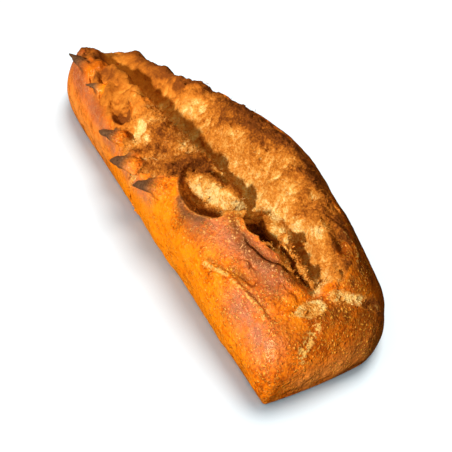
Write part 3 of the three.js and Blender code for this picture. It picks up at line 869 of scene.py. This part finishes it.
# Fibres stand mostly on the ridge, flakes all over the torn crumb, and tufts on the fringe and the band.
FRINGE_TOP = [(110, 0, 68), (140, -1, 63)]
BRIDGE_END = [(84, -4, 68), (83, 2, 64)]
open_crumb = is_torn * (1 - in_cave * (1 - on_lump) * 0.7) * smooth_step(25, 35, z)
open_crumb = open_crumb * smooth_step(-90, -40, x) * smooth_step(46, 34, beside)
fluffy = open_crumb * (1 - 0.8 * on_lump) * np.where(beside < 0, 0.5 + 2.5 * bell((x + 10) / 45), 0.6)
flaky = open_crumb * (1 - 0.3 * on_lump) * np.where(beside < 0, 1.3, 1.0)
ragged = bell(polyline_distance(x, y, z, FRINGE_TOP)[0] / 6) + 0.7 * band * (y < 30)
ragged = ragged + 0.4 * bell(polyline_distance(x, y, z, BRIDGE_END)[0] / 4)
ragged = ragged * smooth_step(0.3, 0.6, is_torn) + 0.03 * open_crumb * (beside < 0)
roots = {
    "crumb_flakes": crumb_roots(loaf, flaky, toast_and_shade),
    "crumb_fibres": crumb_roots(loaf, fluffy, toast_and_shade - 0.05),
    "crumb_tufts": crumb_roots(loaf, ragged, toast_and_shade),
}
slips = [curled_slips(name, roots[name], **sizes) for name, sizes in SLIPS.items()]

# ---- materials --------------------------------------------------------------------------------------


class Finish:
    """A node material, built from small calls that each give back a socket."""

    def __init__(self, name):
        self.material = bpy.data.materials.new(name)
        self.material.use_nodes = True
        self.tree = self.material.node_tree
        self.shader = self.tree.nodes["Principled BSDF"]
        self.place = self.tree.nodes.new("ShaderNodeTexCoord").outputs["Object"]

    def set(self, socket, value):
        if isinstance(value, bpy.types.NodeSocket):
            self.tree.links.new(value, socket)
        elif isinstance(value, tuple) and len(value) == 3 and socket.type == "RGBA":
            socket.default_value = (*value, 1)
        else:
            socket.default_value = value

    def attribute(self, name):
        node = self.tree.nodes.new("ShaderNodeAttribute")
        node.attribute_name = name
        return node.outputs["Fac"]

    def noise(self, size, detail=3.0, rough=0.55):
        """Noise whose lumps are about so many millimetres across."""
        node = self.tree.nodes.new("ShaderNodeTexNoise")
        self.set(node.inputs["Vector"], self.place)
        self.set(node.inputs["Scale"], 1 / (size * MM))
        self.set(node.inputs["Detail"], detail)
        self.set(node.inputs["Roughness"], rough)
        return node.outputs["Fac"]

    def cells(self, size, place):
        """Distance to the nearest of scattered points, and a random share for each."""
        node = self.tree.nodes.new("ShaderNodeTexVoronoi")
        self.set(node.inputs["Vector"], place)
        self.set(node.inputs["Scale"], 1 / (size * MM))
        return node.outputs["Distance"], node.outputs["Color"]

    def stretched(self, x, y, z):
        node = self.tree.nodes.new("ShaderNodeMapping")
        self.set(node.inputs["Vector"], self.place)
        self.set(node.inputs["Scale"], (x, y, z))
        return node.outputs["Vector"]

    def math(self, operation, *values):
        node = self.tree.nodes.new("ShaderNodeMath")
        node.operation = operation
        for socket, value in zip(node.inputs, values):
            self.set(socket, value)
        return node.outputs[0]

    def fade(self, value, start, end, low=0.0, high=1.0):
        node = self.tree.nodes.new("ShaderNodeMapRange")
        node.interpolation_type = "SMOOTHSTEP"
        for socket, number in zip(node.inputs, (value, start, end, low, high)):
            self.set(socket, number)
        return node.outputs[0]

    def mix(self, share, a, b):
        node = self.tree.nodes.new("ShaderNodeMix")
        node.data_type = "RGBA"
        self.set(node.inputs[0], share)
        self.set(node.inputs[6], a)
        self.set(node.inputs[7], b)
        return node.outputs[2]

    def blend(self, share, a, b):
        """A mix of two numbers, where mix is of two colours."""
        node = self.tree.nodes.new("ShaderNodeMix")
        for i, value in enumerate((share, a, b)):
            self.set(node.inputs[(0, 2, 3)[i]], value)
        return node.outputs[0]

    def ramp(self, value, *stops):
        node = self.tree.nodes.new("ShaderNodeValToRGB")
        elements = node.color_ramp.elements
        while len(elements) < len(stops):
            elements.new(0.5)
        for element, (at, colour) in zip(elements, stops):
            element.position = at
            element.color = (*colour, 1)
        self.set(node.inputs[0], value)
        return node.outputs[0]

    def bump(self, height, distance):
        node = self.tree.nodes.new("ShaderNodeBump")
        self.set(node.inputs["Height"], height)
        self.set(node.inputs["Distance"], distance * MM)
        return node.outputs[0]


CRUST_COLOURS = (
    (0.34, (0.17, 0.026, 0.001)),
    (0.45, (0.40, 0.070, 0.001)),
    (0.54, (0.68, 0.145, 0.002)),
    (0.66, (0.90, 0.25, 0.004)),
)
CRUMB_COLOURS = (
    (0.0, (0.92, 0.70, 0.32)),
    (0.2, (0.80, 0.43, 0.11)),
    (0.45, (0.64, 0.23, 0.028)),
    (0.72, (0.43, 0.125, 0.010)),
    (1.0, (0.18, 0.042, 0.004)),
)
# The mauve tint is partly painted sheen, the dark tint partly painted shade, the char tint also paints the
# crevice's shadow, and the blisters' pale colours are partly painted glints.
TINTS = {
    "tan": (0.84, 0.290, 0.060), "mauve_and_sheen": (0.46, 0.145, 0.080), "dark_and_shade": (0.12, 0.028, 0.004),
    "pale": (0.70, 0.40, 0.11), "char": (0.115, 0.055, 0.030),
    "blister_and_glint": (0.98, 0.45, 0.06), "blister_and_glint_on_sheen": (0.95, 0.48, 0.22),
}


def bread_finish():
    f = Finish("bread")
    broad = f.noise(26, 3)
    middle = f.noise(7, 4)
    fine = f.noise(1.6, 3)
    grain = f.attribute("grain")
    # The crust is orange to red-brown.
    tone = f.math("ADD", f.math("MULTIPLY", broad, 0.4), f.math("MULTIPLY", middle, 0.35))
    speckle = f.math("MULTIPLY_ADD", f.noise(2.2, 3), 0.55, -0.275)
    tone = f.math("ADD", tone, f.math("MULTIPLY_ADD", speckle, grain, 0.175))
    # The left wall's painted light brightens its tone.
    painted_wall_light = f.attribute("painted_wall_light")
    tone = f.math("ADD", tone, f.math("MULTIPLY", painted_wall_light, 0.11))
    crust = f.ramp(tone, *CRUST_COLOURS)
    tan = f.math("MULTIPLY", f.attribute("tan"), f.fade(middle, 0.3, 0.6, 0.5, 1.0))
    crust = f.mix(f.math("MULTIPLY", tan, 0.9), crust, TINTS["tan"])
    # The mauve tint is partly painted sheen, and the dark tint partly painted shade.
    mauve_and_sheen = f.math("MULTIPLY", f.attribute("mauve_and_sheen"), f.fade(middle, 0.3, 0.6, 0.4, 1.0))
    crust = f.mix(mauve_and_sheen, crust, TINTS["mauve_and_sheen"])
    dark_and_shade = f.math("MULTIPLY", f.attribute("dark_and_shade"), f.fade(middle, 0.3, 0.65, 0.5, 1.0))
    crust = f.mix(dark_and_shade, crust, TINTS["dark_and_shade"])
    # Blisters, paler than what is round them; their pale colour is partly painted glints.
    crowd = f.fade(f.noise(12, 3), 0.4, 0.54, 0.2, 1.0)
    crowd = f.math("MULTIPLY", crowd, f.fade(painted_wall_light, 0.0, 1.0, 1.0, 0.8))
    crowd = f.math("MULTIPLY", f.math("MAXIMUM", crowd, f.math("MULTIPLY", mauve_and_sheen, 0.9)), grain)
    blister_and_glint = f.fade(f.noise(1.4, 2), 0.53, 0.66)
    distance, chance = f.cells(2.8, f.stretched(0.75, 1.0, 1.0))
    spot = f.math("MULTIPLY", f.fade(distance, 0.42, 0.1), f.fade(chance, 0.5, 0.6))
    blister_and_glint = f.math("MULTIPLY", f.math("MAXIMUM", spot, blister_and_glint), crowd)
    glint = f.mix(mauve_and_sheen, TINTS["blister_and_glint"], TINTS["blister_and_glint_on_sheen"])
    crust = f.mix(f.math("MULTIPLY", blister_and_glint, 0.75), crust, glint)
    # Crumb is pale inside and browned where it stands up; the same ramp carries the painted shade in the
    # pocket and the deep hole.
    fine = f.math("MULTIPLY_ADD", fine, 1.2, -0.6)
    toast_and_shade = f.math("MULTIPLY_ADD", fine, grain, f.attribute("toast_and_shade"))
    toast_and_shade = f.math("ADD", toast_and_shade, f.math("MULTIPLY_ADD", middle, 0.5, -0.25))
    crumb = f.ramp(toast_and_shade, *CRUMB_COLOURS)
    torn = f.attribute("torn")
    colour = f.mix(torn, crust, crumb)
    pale = f.math("MULTIPLY", f.attribute("pale"), f.fade(f.noise(3, 2), 0.38, 0.58, 0.2, 1.2))
    colour = f.mix(f.fade(pale, 0.25, 0.6), colour, TINTS["pale"])
    colour = f.mix(f.attribute("char"), colour, TINTS["char"])
    f.set(f.shader.inputs["Base Color"], colour)
    rough = f.fade(middle, 0.3, 0.7, 0.22, 0.38)
    f.set(f.shader.inputs["Roughness"], f.blend(torn, rough, 0.85))
    f.shader.inputs["Specular IOR Level"].default_value = 0.42
    f.shader.inputs["Specular Tint"].default_value = (1.0, 0.66, 0.34, 1)
    # The crust is smooth in some places and uneven in others, and smoothest on the left wall with its painted
    # light.
    uneven = f.fade(f.noise(15, 3), 0.42, 0.6, 0.7, 2.1)
    uneven = f.math("MULTIPLY", uneven, f.fade(painted_wall_light, 0.0, 1.0, 1.0, 0.5))
    uneven = f.math("MULTIPLY", f.noise(2.8, 3, 0.6), uneven)
    crust_height = f.math("ADD", f.math("MULTIPLY", blister_and_glint, 0.9), uneven)
    crumb_height = f.math("MULTIPLY", f.noise(1.5, 4, 0.65), f.math("MULTIPLY", grain, 3.2))
    f.set(f.shader.inputs["Normal"], f.bump(f.blend(torn, crust_height, crumb_height), 0.8))
    return f.material


def crumb_finish(name):
    f = Finish(name)
    tone = f.math("ADD", f.attribute("toast_and_shade"), f.math("MULTIPLY_ADD", f.noise(3, 3), 0.5, -0.25))
    f.set(f.shader.inputs["Base Color"], f.ramp(tone, *CRUMB_COLOURS))
    f.shader.inputs["Roughness"].default_value = 0.8
    f.shader.inputs["Specular IOR Level"].default_value = 0.2
    return f.material


def dress(obj, material, *replaced):
    obj.data.materials.append(material)
    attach(obj, "root")
    if replaced:
        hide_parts(*replaced)


dress(loaf, bread_finish(), "loaf")
crumb = crumb_finish("crumb")
for slip in slips:
    dress(slip, crumb)

# ---- floor, light and camera ------------------------------------------------------------------------

FLOOR = {"half": 2500, "colour": (0.72, 0.86, 0.94), "rough": 0.9}
WORLD_STRENGTH = 0.07
# Way that it shines, energy, colour and spread.
BREAD_LIGHTS = {
    "key": ((-0.25, 0.8, -0.6), 4.8, (1.0, 0.94, 0.8), 0.09),
    "fill": ((-0.1, 0.15, -1.0), 1.6, (1.0, 0.69, 0.25), 2.6),
}
FLOOR_LIGHTS = {
    "floor_key": ((0.22, -0.38, -1.0), 2.9, (1.0, 0.84, 0.75), 0.6),
    "floor_fill": ((0.0, 0.0, -1.0), 2.1, (0.88, 0.95, 0.97), 2.4),
}
corners = np.array([(-1, -1, 0), (1, -1, 0), (1, 1, 0), (-1, 1, 0)], float) * FLOOR["half"]
floor = new_object("floor", corners, np.array([[0, 1, 2, 3]]))
finish = Finish("pale_floor")
finish.shader.inputs["Base Color"].default_value = (*FLOOR["colour"], 1)
finish.shader.inputs["Roughness"].default_value = FLOOR["rough"]
floor.data.materials.append(finish.material)

world = bpy.data.worlds.new("soft")
bpy.context.scene.world = world
world.use_nodes = True
sky = world.node_tree.nodes["Background"].inputs
sky["Color"].default_value = (1, 1, 1, 1)
sky["Strength"].default_value = WORLD_STRENGTH
world.cycles_visibility.glossy = False


def distant_light(name, way, energy, colour, spread, lit):
    """A light from far away that falls on some objects alone."""
    light = bpy.data.lights.new(name, "SUN")
    light.energy = energy
    light.color = colour
    light.angle = spread
    obj = bpy.data.objects.new(name, light)
    obj.rotation_euler = Vector(way).to_track_quat("-Z", "Y").to_euler()
    bpy.context.scene.collection.objects.link(obj)
    group = bpy.data.collections.new(name)
    for one in lit:
        group.objects.link(one)
    obj.light_linking.receiver_collection = group


# The bread and the floor each have lights of their own.
for name, sizes in BREAD_LIGHTS.items():
    distant_light(name, *sizes, (loaf, *slips))
for name, sizes in FLOOR_LIGHTS.items():
    distant_light(name, *sizes, (floor,))
floor.visible_diffuse = floor.visible_glossy = False

bpy.context.scene.view_settings.view_transform = "Standard"

CAMERA_PLACE = (516.063, -261.243, 572.517)
CAMERA_TURN = {"azimuth": 62, "elevation": 46}
FOCAL_PIXELS = 1000
IMAGE_PIXELS = 452
camera = bpy.data.cameras.new("camera")
camera.sensor_width = 36
camera.lens = 36 * FOCAL_PIXELS / IMAGE_PIXELS
camera_object = bpy.data.objects.new("camera", camera)
azimuth, elevation = (math.radians(turn) for turn in CAMERA_TURN.values())
back = Vector((
    math.sin(azimuth) * math.cos(elevation), -math.cos(azimuth) * math.cos(elevation), math.sin(elevation),
))
camera_object.location = Vector(CAMERA_PLACE) * MM
camera_object.rotation_euler = (-back).to_track_quat("-Z", "Y").to_euler()
bpy.context.scene.collection.objects.link(camera_object)
bpy.context.scene.camera = camera_object
